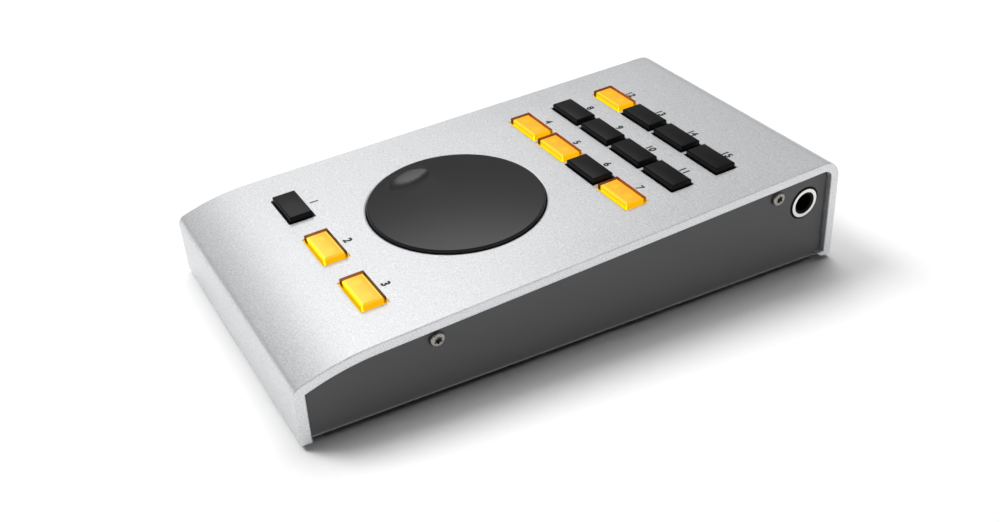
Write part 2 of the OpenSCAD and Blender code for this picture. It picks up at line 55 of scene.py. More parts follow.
# Shell edges
END_ROUND = 0.3 * MM
HOLE_FLARE = 0.05 * MM
HOLE_CORNER = 0.35 * MM
KEY_GAP = 0.15 * MM
DIAL_GAP = 0.5 * MM
DIAL_FLARE = Vector((0.5, 0.2)) * MM

# Steps of round forms and of rounded edges
ROUND_STEPS = 240
SMALL_STEPS = 48
FINE_EDGE = 6
SOFT_EDGE = 2

# Side panels: the limits, over the tray's foot, of a painted highlight line along the bend
BEND_HIGHLIGHT_LIMITS = (0.4 * MM, 0.7 * MM)

# Dial
DIAL_EDGE = 0.6 * MM
DIAL_DEPTH = 6 * MM
DIAL_SKIN = 3.2 * MM
DIAL_RIM = 2.4 * MM
DIAL_SMOOTH = radians(8)
DIMPLE_L = 16.4 * MM
DIMPLE_W = 10.2 * MM
DIMPLE_DEPTH = 1 * MM
DIMPLE_AT = 20.15 * MM
DIMPLE_TURN = radians(200.7)
DIMPLE_STEPS = 12
DIMPLE_PAST = 1.1

# Key caps and their light blocks
CAP_CHAMFER = 0.35 * MM
CAP_CORNER = 0.1 * MM
EDGE_SOFT = 0.06 * MM
FLANGE_T = 0.8 * MM
FLANGE_MARGIN = 0.1 * MM
BLOCK_GAP = 0.05 * MM
BLOCK_CHAMFER = 0.5 * MM

# Amber plastic of the lit caps, and the order of its kinds on a cap after the first
AMBER = "#C89057"
# Painted shade: a darker amber for the caps' long walls, which darkens their rims
SHADED_AMBER = "#7A4C30"
AMBER_SHINE = 0.025
WALL_FACE, POCKET_FACE, GLOW_FACE, REAR_GLINT_FACE = 1, 2, 3, 4

# Light in the blocks: keys whose blocks glow brighter and yellower, the lamps' place and size in shares of a
# block, the depths between which the long sides change colour and go dark, and the colours of the ends
BRIGHTER_GLOW_KEYS = (2, 3)
LAMP_ASIDE = 0.25
LAMP_STRETCH = 2.2
LAMP_CORE = 0.1
LAMP_RIM = 0.3
SIDE_CHANGE = (0.15 * MM, 0.4 * MM)
SIDE_END = (1.3 * MM, 1.8 * MM)
END_BRINK = "#FFB400"
END_SIDE = "#FFB800"
LEVEL_FACE = 0.9
STEEP_FACE = 0.3

# Side screws
HEAD_EDGE = 0.55 * MM
RECESS_R = 1.4 * MM
RECESS_LOBE = 0.17
RECESS_DEPTH = 1.1 * MM

# Numbers behind the keys
NUMBER_SIZE = 3.8 * MM
NUMBER_BOLD = 0.17 * MM
NUMBER_GAP = 1.4 * MM
NUMBER_T = 0.02 * MM

# Camera
CAMERA_AT = Vector((259.58, -163.65, 203.95)) * MM
CAMERA_AIM = Vector((21.9, -19.11, 20.0)) * MM
CAMERA_ROLL = radians(1.077)
CAMERA_LENS = 38.66
SENSOR_W = 36

# Stage
PAPER_R = 4.0
PAPER_SIDES = 96
PAPER_NEAR = 0.3
PAPER_FAR = 0.7
LAMP_DISTANCE = 2.5
SKY_RISE = 0.06
SKY_TOP = 0.27

nodes = frame["nodes"]
dial_joint = next(joint for joint in frame["joints"] if joint["name"] == "dial_turn")
dial_axis = Vector(dial_joint["axis"])
TILT = atan2(-dial_axis.y, dial_axis.z)
# The top face's own frame: X to the right, Y up the slope, Z out of the face, zero at the dial's axis
PLATE = Matrix.Translation(dial_joint["pos_m"]) @ Matrix.Rotation(TILT, 4, "X")
KEYS = range(1, 1 + sum(name.startswith("key_cap_") for name in nodes))


def plate_box(name, above=-1.0, below=1.0):
    """Lowest and highest corner of a node's points between two heights, measured from the top face"""
    onto_plate = PLATE.inverted()
    points = [onto_plate @ vertex.co for vertex in nodes[name].data.vertices]
    points = [point for point in points if above < point.z < below]
    low = Vector(min(point[i] for point in points) for i in range(3))
    high = Vector(max(point[i] for point in points) for i in range(3))
    return low, high


# Materials


def srgb(code):
    """An sRGB hex colour as linear red, green, blue and alpha"""
    parts = [int(code[i:i + 2], 16) / 255 for i in (1, 3, 5)]
    return [c / 12.92 if c <= 0.04045 else ((c + 0.055) / 1.055) ** 2.4 for c in parts] + [1.0]


def add(tree, kind, sockets=None, **settings):
    """Adds a node with its settings; a socket takes a value, or the output that is linked to it"""
    made = tree.nodes.new("ShaderNode" + kind)
    for name, value in settings.items():
        setattr(made, name, value)
    for name, value in (sockets or {}).items():
        if isinstance(value, bpy.types.NodeSocket):
            tree.links.new(value, made.inputs[name])
        else:
            made.inputs[name].default_value = value
    return made


def start(name, **sockets):
    """A material with its shader's plain values set, its node tree and its shader"""
    material = bpy.data.materials.new(name)
    material.use_nodes = True
    tree = material.node_tree
    shader = tree.nodes["Principled BSDF"]
    for socket, value in sockets.items():
        shader.inputs[socket.replace("_", " ")].default_value = value
    return material, tree, shader


def mix(tree, share, first, second):
    """The colour between two, by a share"""
    return add(tree, "Mix", {0: share, 6: first, 7: second}, data_type="RGBA").outputs[2]


def ramp(tree, value, limits, ends, **settings):
    """A value's way from the first limit to the second, as a number from the first end to the second"""
    return add(tree, "MapRange", {"Value": value, "From Min": limits[0], "From Max": limits[1],
                                  "To Min": ends[0], "To Max": ends[1]}, **settings).outputs[0]


def grain(tree, shader, size, colours, roughness, depth):
    """A speckle of one grain size that mixes two colours, spreads the roughness and lifts the surface"""
    place = add(tree, "TexCoord").outputs["Object"]
    noise = add(tree, "TexNoise", {"Vector": place, "Scale": 1 / size, "Detail": 2.0}).outputs["Fac"]
    tint = mix(tree, ramp(tree, noise, NOISE_LIMITS, (0.0, 1.0)), srgb(colours[0]), srgb(colours[1]))
    rough = ramp(tree, noise, NOISE_LIMITS, roughness)
    bump = add(tree, "Bump", {"Height": noise, "Distance": depth, "Strength": 1.0})
    tree.links.new(tint, shader.inputs["Base Color"])
    tree.links.new(rough, shader.inputs["Roughness"])
    tree.links.new(bump.outputs[0], shader.inputs["Normal"])


def blasted_aluminium():
    """Bead-blasted and clear anodised aluminium: a soft grey sheen broken up by a fine sparkle.
    Part of the light is scattered by the anodised skin, so it isn't wholly metallic.
    The real pits are about 0.1 mm, drawn at 0.5 mm so that they show."""
    material, tree, shader = start("blasted_aluminium", Metallic=0.6)
    grain(tree, shader, 0.5 * MM, ("#C5C6C8", "#E3E4E6"), (0.35, 0.43), 0.01 * MM)
    return material


def coated_steel():
    """Sheet steel with a fine dark grey powder coat: matt, with a very small orange peel,
    and a painted highlight: a lighter line along the bend at the foot, where the bend catches light"""
    material, tree, shader = start("coated_steel")
    grain(tree, shader, 0.5 * MM, ("#3D3D3E", "#454546"), (0.55, 0.68), 0.01 * MM)
    coat = shader.inputs["Base Color"].links[0].from_socket
    height = add(tree, "SeparateXYZ", {0: add(tree, "TexCoord").outputs["Object"]})
    foot = min(vertex.co.z for vertex in nodes["base_tray"].data.vertices)
    # Painted highlight: the foot's bend is drawn lighter, as if it caught the light
    bend = ramp(tree, height.outputs[2], [foot + limit for limit in BEND_HIGHLIGHT_LIMITS], (1.0, 0.0))
    tree.links.new(mix(tree, bend, coat, srgb("#8C8C8D")), shader.inputs["Base Color"])
    return material


def dial_lacquer():
    """Matt lacquer on turned aluminium: dark grey with a soft wide sheen"""
    material, tree, shader = start("dial_lacquer", Specular_IOR_Level=0.4)
    grain(tree, shader, 0.3 * MM, ("#101010", "#141414"), (0.2, 0.24), 0.001 * MM)
    return material


def smoked_plastic():
    """Moulded smoked polycarbonate over an unlit block: nearly black, with a satin shine"""
    material, tree, shader = start("smoked_plastic", Specular_IOR_Level=0.2)
    grain(tree, shader, 0.6 * MM, ("#060606", "#090909"), (0.3, 0.33), 0.0005 * MM)
    return material


def amber_plastic(name, colour, shine, glow="#000000"):
    """Clear amber plastic of one depth of colour: what lies behind shows through, plus an optional painted
    glow of its own colour that stands in for glints of light, under a faint soft shine"""
    material, tree, shader = start(name, Metallic=1.0, Roughness=0.25)
    shader.inputs["Base Color"].default_value = srgb("#FFFFFF")
    clear = add(tree, "BsdfTransparent", {"Color": srgb(colour)})
    painted_glow_shader = add(tree, "Emission", {"Color": srgb(glow), "Strength": 1.0})
    inner = add(tree, "AddShader", {0: clear.outputs[0], 1: painted_glow_shader.outputs[0]})
    both = add(tree, "MixShader", {0: shine, 1: inner.outputs[0], 2: shader.outputs[0]})
    tree.links.new(both.outputs[0], tree.nodes["Material Output"].inputs["Surface"])
    return material


def amber_glow():
    """The amber cap's skirt, which carries the lamps' light round the key"""
    material, tree, shader = start("amber_glow", Roughness=0.3)
    shader.inputs["Base Color"].default_value = srgb("#604000")
    shader.inputs["Emission Color"].default_value = srgb("#FFD000")
    shader.inputs["Emission Strength"].default_value = 0.8
    return material


def behind(colour, tint):
    """Light that looks a colour through a tint"""
    return [seen / passed for seen, passed in zip(srgb(colour), srgb(tint))]


def lit_diffuser(name, rear, front, spot, edge, upper_side, lower_side):
    """Milky block over two lamps: an amber glow on top, from its rear to its front, with a yellow spot over
    each lamp, yellow edges along it, and amber sides, of which the long ones go yellow toward their foot.
    The colours are those that are seen through the cap. Below the top face the block is dark, so that no
    light leaks into the case."""
    material, tree, shader = start(name, Roughness=0.5)
    shader.inputs["Base Color"].default_value = srgb("#201000")
    place = add(tree, "UVMap", uv_map="block")
    across = add(tree, "SeparateXYZ", {0: place.outputs[0]})
    mirrored = add(tree, "Math", {0: across.outputs[0]}, operation="ABSOLUTE")
    aside = add(tree, "Math", {0: mirrored.outputs[0], 1: LAMP_ASIDE}, operation="SUBTRACT")
    stretched = add(tree, "Math", {0: aside.outputs[0], 1: LAMP_STRETCH}, operation="MULTIPLY")
    flat = add(tree, "CombineXYZ", {0: stretched.outputs[0], 1: across.outputs[1]})
    far = add(tree, "VectorMath", {0: flat.outputs[0]}, operation="LENGTH").outputs["Value"]
    near = ramp(tree, far, (LAMP_CORE, LAMP_RIM), (1.0, 0.0), interpolation_type="SMOOTHSTEP")
    back = add(tree, "Math", {0: across.outputs[1], 1: 0.5}).outputs[0]
    even = mix(tree, back, behind(front, AMBER), behind(rear, AMBER))
    roof = mix(tree, near, even, behind(spot, AMBER))
    facing = add(tree, "NewGeometry").outputs["True Normal"]
    endwise = add(tree, "SeparateXYZ", {0: facing}).outputs[0]
    endwise = add(tree, "Math", {0: endwise}, operation="ABSOLUTE").outputs[0]
    brink = mix(tree, endwise, behind(edge, AMBER), behind(END_BRINK, AMBER))
    point = add(tree, "TexCoord").outputs["Object"]
    rise = add(tree, "VectorMath", {0: point, 1: dial_axis}, operation="DOT_PRODUCT").outputs["Value"]
    depth = add(tree, "Math", {0: PLATE.translation.dot(dial_axis), 1: rise}, operation="SUBTRACT").outputs[0]
    low = ramp(tree, depth, SIDE_CHANGE, (0.0, 1.0))
    # Long sides drawn brighter so that they keep their colour behind the painted shade of the long walls
    long_side = mix(tree, low, behind(upper_side, SHADED_AMBER), behind(lower_side, SHADED_AMBER))
    side = mix(tree, endwise, long_side, behind(END_SIDE, AMBER))
    upward = add(tree, "VectorMath", {0: facing, 1: dial_axis}, operation="DOT_PRODUCT").outputs["Value"]
    level = add(tree, "Math", {0: upward, 1: LEVEL_FACE}, operation="GREATER_THAN").outputs[0]
    steep = add(tree, "Math", {0: upward, 1: STEEP_FACE}, operation="LESS_THAN").outputs[0]
    tint = mix(tree, steep, mix(tree, level, brink, roof), side)
    tree.links.new(tint, shader.inputs["Emission Color"])
    tree.links.new(ramp(tree, depth, SIDE_END, (1.0, 0.0)), shader.inputs["Emission Strength"])
    return material


def milky_block():
    """White polycarbonate light block, unlit"""
    material, tree, shader = start("milky_block", IOR=1.58)
    grain(tree, shader, 1.5 * MM, ("#C9C6BC", "#D6D3CA"), (0.4, 0.5), 0.004 * MM)
    return material


def plated(name, colours, roughness, size=0.3 * MM):
    """A plated or bare metal with faint tumbling marks"""
    material, tree, shader = start(name, Metallic=1.0)
    grain(tree, shader, size, colours, roughness, 0.003 * MM)
    return material


def moulding(name, colours, roughness, size=0.5 * MM, shine=0.5):
    """A moulded plastic or rubber with a fine spark-eroded skin"""
    material, tree, shader = start(name, Specular_IOR_Level=shine)
    grain(tree, shader, size, colours, roughness, 0.006 * MM)
    return material


FINISHES = {
    "shell_aluminium": blasted_aluminium(),
    "tray_paint": coated_steel(),
    "dial_coat": dial_lacquer(),
    "cap_smoke": smoked_plastic(),
    "cap_lit": amber_plastic("amber_plastic", AMBER, AMBER_SHINE),
    "block_lit": lit_diffuser("lit_diffuser", rear="#FFBB36", front="#FFC233", spot="#FFCE2C", edge="#FFE834",
                              upper_side="#FFD01C", lower_side="#FFF800"),
    "block_plain": milky_block(),
    "screw_nickel": plated("nickel_plate", ("#8A8883", "#A4A29D"), (0.25, 0.36)),
    "bright_metal": plated("polished_nickel", ("#DAD8D4", "#E6E4E0"), (0.12, 0.2)),
    "steel": plated("turned_steel", ("#8E8F91", "#A3A4A6"), (0.3, 0.4)),
    "insert_brass": plated("turned_brass", ("#B08D45", "#C4A257"), (0.25, 0.35)),
    "contact_metal": plated("gold_flash", ("#C9A24A", "#DDB85E"), (0.2, 0.3)),
    "black_moulding": moulding("black_nylon", ("#060607", "#0B0B0C"), (0.5, 0.6), shine=0.1),
    "white_moulding": moulding("white_nylon", ("#D9D7D0", "#E4E2DC"), (0.4, 0.5)),
    # Painted shade: the board is drawn near black, so that the gap round the dial reads black
    "board": moulding("shade_darkened_solder_mask", ("#020503", "#030704"), (0.3, 0.4), 2 * MM),
    "lamp_resin": moulding("lamp_resin", ("#D9B45A", "#E4C271"), (0.2, 0.3)),
    "foot_rubber": moulding("foot_rubber", ("#161616", "#202020"), (0.75, 0.9), 0.8 * MM),
}
INK = moulding("printed_ink", ("#0C0C0C", "#151515"), (0.5, 0.6), 0.4 * MM)
WALL = amber_plastic("shaded_amber_plastic", SHADED_AMBER, AMBER_SHINE)
POCKET = amber_plastic("bare_pocket", "#FFFFFF", 0.0)
GLOW = amber_glow()
# Rear walls: the darker amber with a painted orange glow that stands in for glints along the rear rims
REAR_GLINT_WALL = amber_plastic("rear_glint_amber_plastic", SHADED_AMBER, AMBER_SHINE, "#B03F0D")
BRIGHT = lit_diffuser("bright_diffuser", rear="#FFC43A", front="#FFE855", spot="#FFE24C", edge="#FFFC4B",
                      upper_side="#FFB803", lower_side="#FFCC18")


# Mesh tools


def piece(name, mesh, body, slot, *replaced, smooth=SMOOTH_ANGLE):
    """Makes a mesh a smooth-shaded piece that rides on a body and stands for CAD nodes"""
    data = bpy.data.meshes.new(name)
    mesh.to_mesh(data)
    mesh.free()
    if data.has_custom_normals:
        data.attributes.remove(data.attributes["custom_normal"])
    data.materials.append(FINISHES[slot])
    data.shade_smooth()
    data.set_sharp_from_angle(angle=smooth)
    made = bpy.data.objects.new(name, data)
    bpy.context.scene.collection.objects.link(made)
    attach(made, body)
    if replaced:
        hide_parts(*replaced)
    return made


def cad_copy(name):
    """A CAD node's mesh with its loose triangles joined"""
    mesh = bmesh.new()
    mesh.from_mesh(nodes[name].data)
    bmesh.ops.remove_doubles(mesh, verts=mesh.verts, dist=TINY)
    return mesh


def stack(mesh, rings):
    """Adds a closed block of level rectangles, each a length, a width and a height; gives its points"""
    length, width, height = rings[0]
    corners = [(-1, -1), (1, -1), (1, 1), (-1, 1)]
    points = [mesh.verts.new((x * length / 2, y * width / 2, height)) for x, y in corners]
    end = mesh.faces.new(points)
    made = list(points)
    for last, ring in zip(rings, rings[1:]):
        grown = bmesh.ops.extrude_face_region(mesh, geom=[end, *end.edges])["geom"]
        end = next(item for item in grown if isinstance(item, bmesh.types.BMFace))
        for point in end.verts:
            point.co.x *= ring[0] / last[0]
            point.co.y *= ring[1] / last[1]
            point.co.z = ring[2]
        made += end.verts
    faces = list({face for point in made for face in point.link_faces})
    bmesh.ops.recalc_face_normals(mesh, faces=faces)
    return made


def spun(mesh, profile, steps):
    """Adds a round solid, a profile of radii and heights turned about Z; gives its points"""
    points = [mesh.verts.new((radius, 0, height)) for radius, height in profile]
    edges = [mesh.edges.new(pair) for pair in zip(points, points[1:])]
    known = set(mesh.verts) - set(points)
    bmesh.ops.spin(mesh, geom=points + edges, cent=(0, 0, 0), axis=(0, 0, 1), angle=2 * pi,
                   steps=steps, use_merge=True)
    made = [point for point in mesh.verts if point not in known]
    bmesh.ops.remove_doubles(mesh, verts=made, dist=TINY)
    made = [point for point in mesh.verts if point not in known]
    faces = list({face for point in made for face in point.link_faces})
    bmesh.ops.recalc_face_normals(mesh, faces=faces)
    return made


def soften(mesh, edges, width, segments):
    """Rounds off edges"""
    bmesh.ops.bevel(mesh, geom=edges, offset=width, offset_type="OFFSET", segments=segments, profile=0.5,
                    affect="EDGES", clamp_overlap=True, material=-1)


def carve(solid, cutter):
    """A solid with a cutter taken out of it"""
    objects = []
    for mesh in (solid, cutter):
        data = bpy.data.meshes.new("carving")
        mesh.to_mesh(data)
        mesh.free()
        objects.append(bpy.data.objects.new("carving", data))
        bpy.context.scene.collection.objects.link(objects[-1])
    cut = objects[0].modifiers.new("cut", "BOOLEAN")
    cut.operation = "DIFFERENCE"
    cut.solver = "EXACT"
    cut.object = objects[1]
    shaped = objects[0].evaluated_get(bpy.context.evaluated_depsgraph_get())
    result = bmesh.new()
    result.from_mesh(shaped.to_mesh())
    shaped.to_mesh_clear()
    for used in objects:
        bpy.data.meshes.remove(used.data)
    return result


# Sizes of a key, from the first one


def key_centre(i):
    """Middle of a key, in the top face's frame"""
    low, high = plate_box(f"key_stem_{i}")
    return Vector(((low.x + high.x) / 2, (low.y + high.y) / 2, 0))


def spans(box):
    """Length and width of a box"""
    return box[1].x - box[0].x, box[1].y - box[0].y


cap_l, cap_w = spans(plate_box("key_cap_1", 0.0))
skirt_l, skirt_w = spans(plate_box("key_cap_1", -1 * MM))
flange_w = spans(plate_box("key_cap_1"))[1]
block_l, block_w = spans(plate_box("key_stem_1", 0.0))
cap_foot = plate_box("key_cap_1")[0].z
cap_top = plate_box("key_cap_1")[1].z
block_top = plate_box("key_stem_1")[1].z
stem_foot = plate_box("key_stem_1")[0].z
stem_r = spans(plate_box("key_stem_1", below=cap_foot - TINY))[0] / 2
# Top of the skirt: the lowest point of the cap that is near the top face
skirt_top = plate_box("key_cap_1", -1 * MM)[0].z


def make_shell():
    """The shell: its end outline drawn out to the other end, with rounded end edges and flared holes"""
    mesh = cad_copy("top_shell")
    end = max(point.co.x for point in mesh.verts)
    inner = [face for face in mesh.faces if any(end - point.co.x > TINY for point in face.verts)]
    bmesh.ops.delete(mesh, geom=inner, context="FACES")
    bmesh.ops.dissolve_faces(mesh, faces=mesh.faces[:])
    drawn = bmesh.ops.extrude_face_region(mesh, geom=mesh.faces[:] + mesh.edges[:])["geom"]
    far = [item for item in drawn if isinstance(item, bmesh.types.BMVert)]
    bmesh.ops.translate(mesh, verts=far, vec=(-2 * end, 0, 0))
    bmesh.ops.recalc_face_normals(mesh, faces=mesh.faces)
    rims = [edge for edge in mesh.edges if abs(edge.verts[0].co.x - edge.verts[1].co.x) < TINY]
    soften(mesh, rims, END_ROUND, SOFT_EDGE)

    cutter = bmesh.new()
    hole_l, hole_w = skirt_l + 2 * KEY_GAP, skirt_w + 2 * KEY_GAP
    wide_l, wide_w = hole_l + 4 * HOLE_FLARE, hole_w + 4 * HOLE_FLARE
    for i in KEYS:
        points = stack(cutter, [(hole_l, hole_w, cap_foot), (hole_l, hole_w, -HOLE_FLARE),
                                (wide_l, wide_w, HOLE_FLARE)])
        bmesh.ops.translate(cutter, verts=points, vec=key_centre(i))
    uprights = [edge for edge in cutter.edges if abs(edge.verts[0].co.z - edge.verts[1].co.z) > TINY]
    soften(cutter, uprights, HOLE_CORNER, FINE_EDGE)
    low, high = plate_box("volume_dial")
    radius = (high.x - low.x) / 2 + DIAL_GAP
    wide, deep = DIAL_FLARE
    spun(cutter, [(0, cap_foot), (radius, cap_foot), (radius, -deep), (radius + 2 * wide, deep), (0, deep)],
         ROUND_STEPS)
    bmesh.ops.transform(cutter, matrix=PLATE, verts=cutter.verts)
    piece("shell", carve(mesh, cutter), "case", "shell_aluminium", "top_shell")


def make_dial():
    """The dial: a turned cup with a rounded rim, and an oval finger dimple that a barrel leaves in its top"""
    low, high = plate_box("volume_dial")
    radius, top = (high.x - low.x) / 2, high.z
    hub = spans(plate_box("dial_insert"))[0] / 2
    rim = [(radius - DIAL_EDGE + DIAL_EDGE * sin(turn), top - DIAL_EDGE + DIAL_EDGE * cos(turn))
           for turn in (radians(angle) for angle in range(0, 91, 5))]
    under = top - DIAL_SKIN
    foot = top - DIAL_DEPTH
    mesh = bmesh.new()
    spun(mesh, [(0, top), *rim, (radius, foot), (radius - DIAL_RIM, foot), (radius - DIAL_RIM, under),
                (hub, under), (0, under)], ROUND_STEPS)
    bow = (DIMPLE_L ** 2 / 4 + DIMPLE_DEPTH ** 2) / (2 * DIMPLE_DEPTH)
    belly = (DIMPLE_W ** 2 / 4 + DIMPLE_DEPTH ** 2) / (2 * DIMPLE_DEPTH)
    reach = DIMPLE_PAST * asin(DIMPLE_L / 2 / bow)
    turns = [reach * k / DIMPLE_STEPS for k in range(-DIMPLE_STEPS, DIMPLE_STEPS + 1)]
    side = [(belly - bow + bow * cos(turn), bow * sin(turn)) for turn in turns]
    cutter = bmesh.new()
    points = spun(cutter, [(0, side[0][1]), *side, (0, side[-1][1])], ROUND_STEPS)
    outward = Matrix.Translation((DIMPLE_AT, 0, top + belly - DIMPLE_DEPTH))
    place = Matrix.Rotation(DIMPLE_TURN, 4, "Z") @ outward @ Matrix.Rotation(pi / 2, 4, "X")
    bmesh.ops.transform(cutter, matrix=place, verts=points)
    made = carve(mesh, cutter)
    bmesh.ops.transform(made, matrix=PLATE, verts=made.verts)
    return piece("dial", made, "dial", "dial_coat", "volume_dial", smooth=DIAL_SMOOTH)


def make_cap(i):
    """A key cap: flange, skirt and chamfered upper part over a pocket for the light block"""
    lit = i in LIT_KEYS
    pocket_l, pocket_w = block_l + 2 * BLOCK_GAP, block_w + 2 * BLOCK_GAP
    pocket_top = block_top + BLOCK_GAP
    flange_l, flange_top = skirt_l + 2 * FLANGE_MARGIN, cap_foot + FLANGE_T
    shoulder = cap_top - CAP_CHAMFER
    mesh = bmesh.new()
    stack(mesh, [
        (pocket_l, pocket_w, pocket_top), (pocket_l, pocket_w, cap_foot),
        (flange_l, flange_w, cap_foot), (flange_l, flange_w, flange_top),
        (skirt_l, skirt_w, flange_top), (skirt_l, skirt_w, skirt_top),
        (cap_l, cap_w, skirt_top), (cap_l, cap_w, shoulder),
        (cap_l - 2 * CAP_CHAMFER, cap_w - 2 * CAP_CHAMFER, cap_top)])
    if lit:
        for face in mesh.faces:
            high = max(point.co.z for point in face.verts)
            wide = max(abs(point.co.x) for point in face.verts)
            deep = face.calc_center_median().y
            if abs(high - skirt_top) < TINY and wide > cap_l / 2 + TINY:
                face.material_index = GLOW_FACE
            elif wide < pocket_l / 2 + TINY:
                face.material_index = POCKET_FACE
            elif high < shoulder + TINY and abs(deep) > cap_w / 2 - TINY:
                # Rear walls of the caps other than the brighter ones take the painted glow of glints
                face.material_index = REAR_GLINT_FACE if deep > 0 and i not in BRIGHTER_GLOW_KEYS else WALL_FACE
    posts = [edge for edge in mesh.edges
             if all(abs(abs(point.co.x) - cap_l / 2) < TINY for point in edge.verts)
             and abs(edge.verts[0].co.z - edge.verts[1].co.z) > TINY]
    soften(mesh, posts, CAP_CORNER, FINE_EDGE)
    brims = [edge for edge in mesh.edges
             if all(point.co.z > shoulder - TINY for point in edge.verts)
             and abs(edge.verts[0].co.z - edge.verts[1].co.z) < TINY]
    soften(mesh, brims, EDGE_SOFT, SOFT_EDGE)
    bmesh.ops.transform(mesh, matrix=PLATE @ Matrix.Translation(key_centre(i)), verts=mesh.verts)
    made = piece(f"cap_{i}", mesh, f"key_{i}", "cap_lit" if lit else "cap_smoke", f"key_cap_{i}")
    if lit:
        for extra in (WALL, POCKET, GLOW, REAR_GLINT_WALL):
            made.data.materials.append(extra)


def make_block(i):
    """A lit block: chamfered, with its plunger below, and its own lengths and widths as a map"""
    mesh = bmesh.new()
    stack(mesh, [(block_l, block_w, cap_foot), (block_l, block_w, block_top - BLOCK_CHAMFER),
                 (block_l - 2 * BLOCK_CHAMFER, block_w - 2 * BLOCK_CHAMFER, block_top)])
    stem_top = cap_foot + FLANGE_T
    spun(mesh, [(0, stem_foot), (stem_r, stem_foot), (stem_r, stem_top), (0, stem_top)], SMALL_STEPS)
    layer = mesh.loops.layers.uv.new("block")
    for face in mesh.faces:
        for loop in face.loops:
            loop[layer].uv = (loop.vert.co.x / block_l, loop.vert.co.y / block_w)
    bmesh.ops.transform(mesh, matrix=PLATE @ Matrix.Translation(key_centre(i)), verts=mesh.verts)
    made = piece(f"light_block_{i}", mesh, f"key_{i}", "block_lit", f"key_stem_{i}")
    if i in BRIGHTER_GLOW_KEYS:
        made.data.materials[0] = BRIGHT


def make_screws():
    """The side screws: pan heads with rounded edges and six-lobe recesses"""
    points = [vertex.co for vertex in nodes["side_screws"].data.vertices]
    panel = max(vertex.co.x for vertex in nodes["base_tray"].data.vertices)
    solid, cutter = bmesh.new(), bmesh.new()
    for side in (-1, 1):
        for rear in (-1, 1):
            own = [point for point in points if point.x * side > 0 and point.y * rear > 0]
            low = Vector(min(point[i] for point in own) for i in range(3))
            high = Vector(max(point[i] for point in own) for i in range(3))
            head_r = (high.y - low.y) / 2
            proud = max(high.x, -low.x) - panel
            length = panel - min(abs(low.x), abs(high.x))
            shaft = [point for point in own if abs(point.x) < panel - TINY]
            shaft_r = (max(point.y for point in shaft) - min(point.y for point in shaft)) / 2
            edge = [(head_r - HEAD_EDGE + HEAD_EDGE * sin(turn), proud - HEAD_EDGE + HEAD_EDGE * cos(turn))
                    for turn in (radians(angle) for angle in range(0, 91, 15))]
            outline = [(0, proud), *edge, (head_r, 0), (shaft_r, 0), (shaft_r, -length), (0, -length)]
            turned = spun(solid, outline, SMALL_STEPS)
            rim = [RECESS_R * (1 - RECESS_LOBE + RECESS_LOBE * cos(6 * turn))
                   * Vector((cos(turn), sin(turn), 0))
                   for turn in (radians(angle) for angle in range(0, 360, 5))]
            lobes = [cutter.verts.new(point + Vector((0, 0, proud - RECESS_DEPTH))) for point in rim]
            floor = cutter.faces.new(lobes)
            grown = bmesh.ops.extrude_face_region(cutter, geom=[floor, *floor.edges])["geom"]
            mouth = [item for item in grown if isinstance(item, bmesh.types.BMVert)]
            bmesh.ops.translate(cutter, verts=mouth, vec=(0, 0, 2 * RECESS_DEPTH))
            middle = (low + high) / 2
            seat = Matrix.Translation((side * panel, middle.y, middle.z))
            place = seat @ Matrix.Rotation(side * pi / 2, 4, "Y")
            bmesh.ops.transform(solid, matrix=place, verts=turned)
            bmesh.ops.transform(cutter, matrix=place, verts=lobes + mouth)
    bmesh.ops.recalc_face_normals(cutter, faces=cutter.faces)
    piece("screws", carve(solid, cutter), "case", "screw_nickel", "side_screws")


def make_number(i, joined):
    """Adds one key's number to a mesh: its strokes grown sideways to bold, and laid behind the key"""
    curve = bpy.data.curves.new("number", "FONT")
    curve.body = str(i)
    curve.size = NUMBER_SIZE
    curve.align_x = "CENTER"
    curve.extrude = NUMBER_T / 2
    words = bpy.data.objects.new("number", curve)
    bpy.context.scene.collection.objects.link(words)
    shaped = words.evaluated_get(bpy.context.evaluated_depsgraph_get())
    mesh = bmesh.new()
    mesh.from_mesh(shaped.to_mesh())
    shaped.to_mesh_clear()
    bpy.data.curves.remove(curve)
    bmesh.ops.remove_doubles(mesh, verts=mesh.verts, dist=TINY)
    bmesh.ops.recalc_face_normals(mesh, faces=mesh.faces)
    sides = [[face.normal for face in point.link_faces if abs(face.normal.z) < 0.5] for point in mesh.verts]
    for point, facing in zip(mesh.verts, sides):
        point.co += NUMBER_BOLD * sum(facing, Vector()).normalized()
    rearward = Vector((0, skirt_w / 2 + KEY_GAP + NUMBER_GAP, NUMBER_T / 2))
    bmesh.ops.transform(mesh, matrix=PLATE @ Matrix.Translation(key_centre(i) + rearward), verts=mesh.verts)
    data = bpy.data.meshes.new("number")
    mesh.to_mesh(data)
    mesh.free()
    joined.from_mesh(data)
    bpy.data.meshes.remove(data)


def make_numbers():
    """Plain numbers printed behind the keys, as one thin mesh"""
    joined = bmesh.new()
    for i in KEYS:
        make_number(i, joined)
    made = piece("key_numbers", joined, "case", "black_moulding")
    made.data.materials[0] = INK


make_shell()
dial = make_dial()
for key in KEYS:
    make_cap(key)
    if key in LIT_KEYS:
        make_block(key)
make_numbers()
make_screws()
for node in ("base_tray", "jack_body", "jack_sleeve", "rubber_feet", "cable_socket_shell",
             "cable_socket_insert"):
    slot = nodes[node].material_slots[0].material.name
    piece(f"{node}_skin", cad_copy(node), "case", slot, node)
for node in nodes.values():
    for held in node.material_slots:
        held.material = FINISHES[held.material.name]


# Stage: floor, lamps, world and camera


def seen_rays(tree):
    """One for rays that come from the eye, a mirror or clear plastic, and zero for the rest"""
    path = add(tree, "LightPath")
    camera, glossy, clear = [path.outputs[f"Is {kind} Ray"] for kind in ("Camera", "Glossy", "Transmission")]
    either = add(tree, "Math", {0: camera, 1: glossy}, operation="MAXIMUM").outputs[0]
    return add(tree, "Math", {0: either, 1: clear}, operation="MAXIMUM").outputs[0]


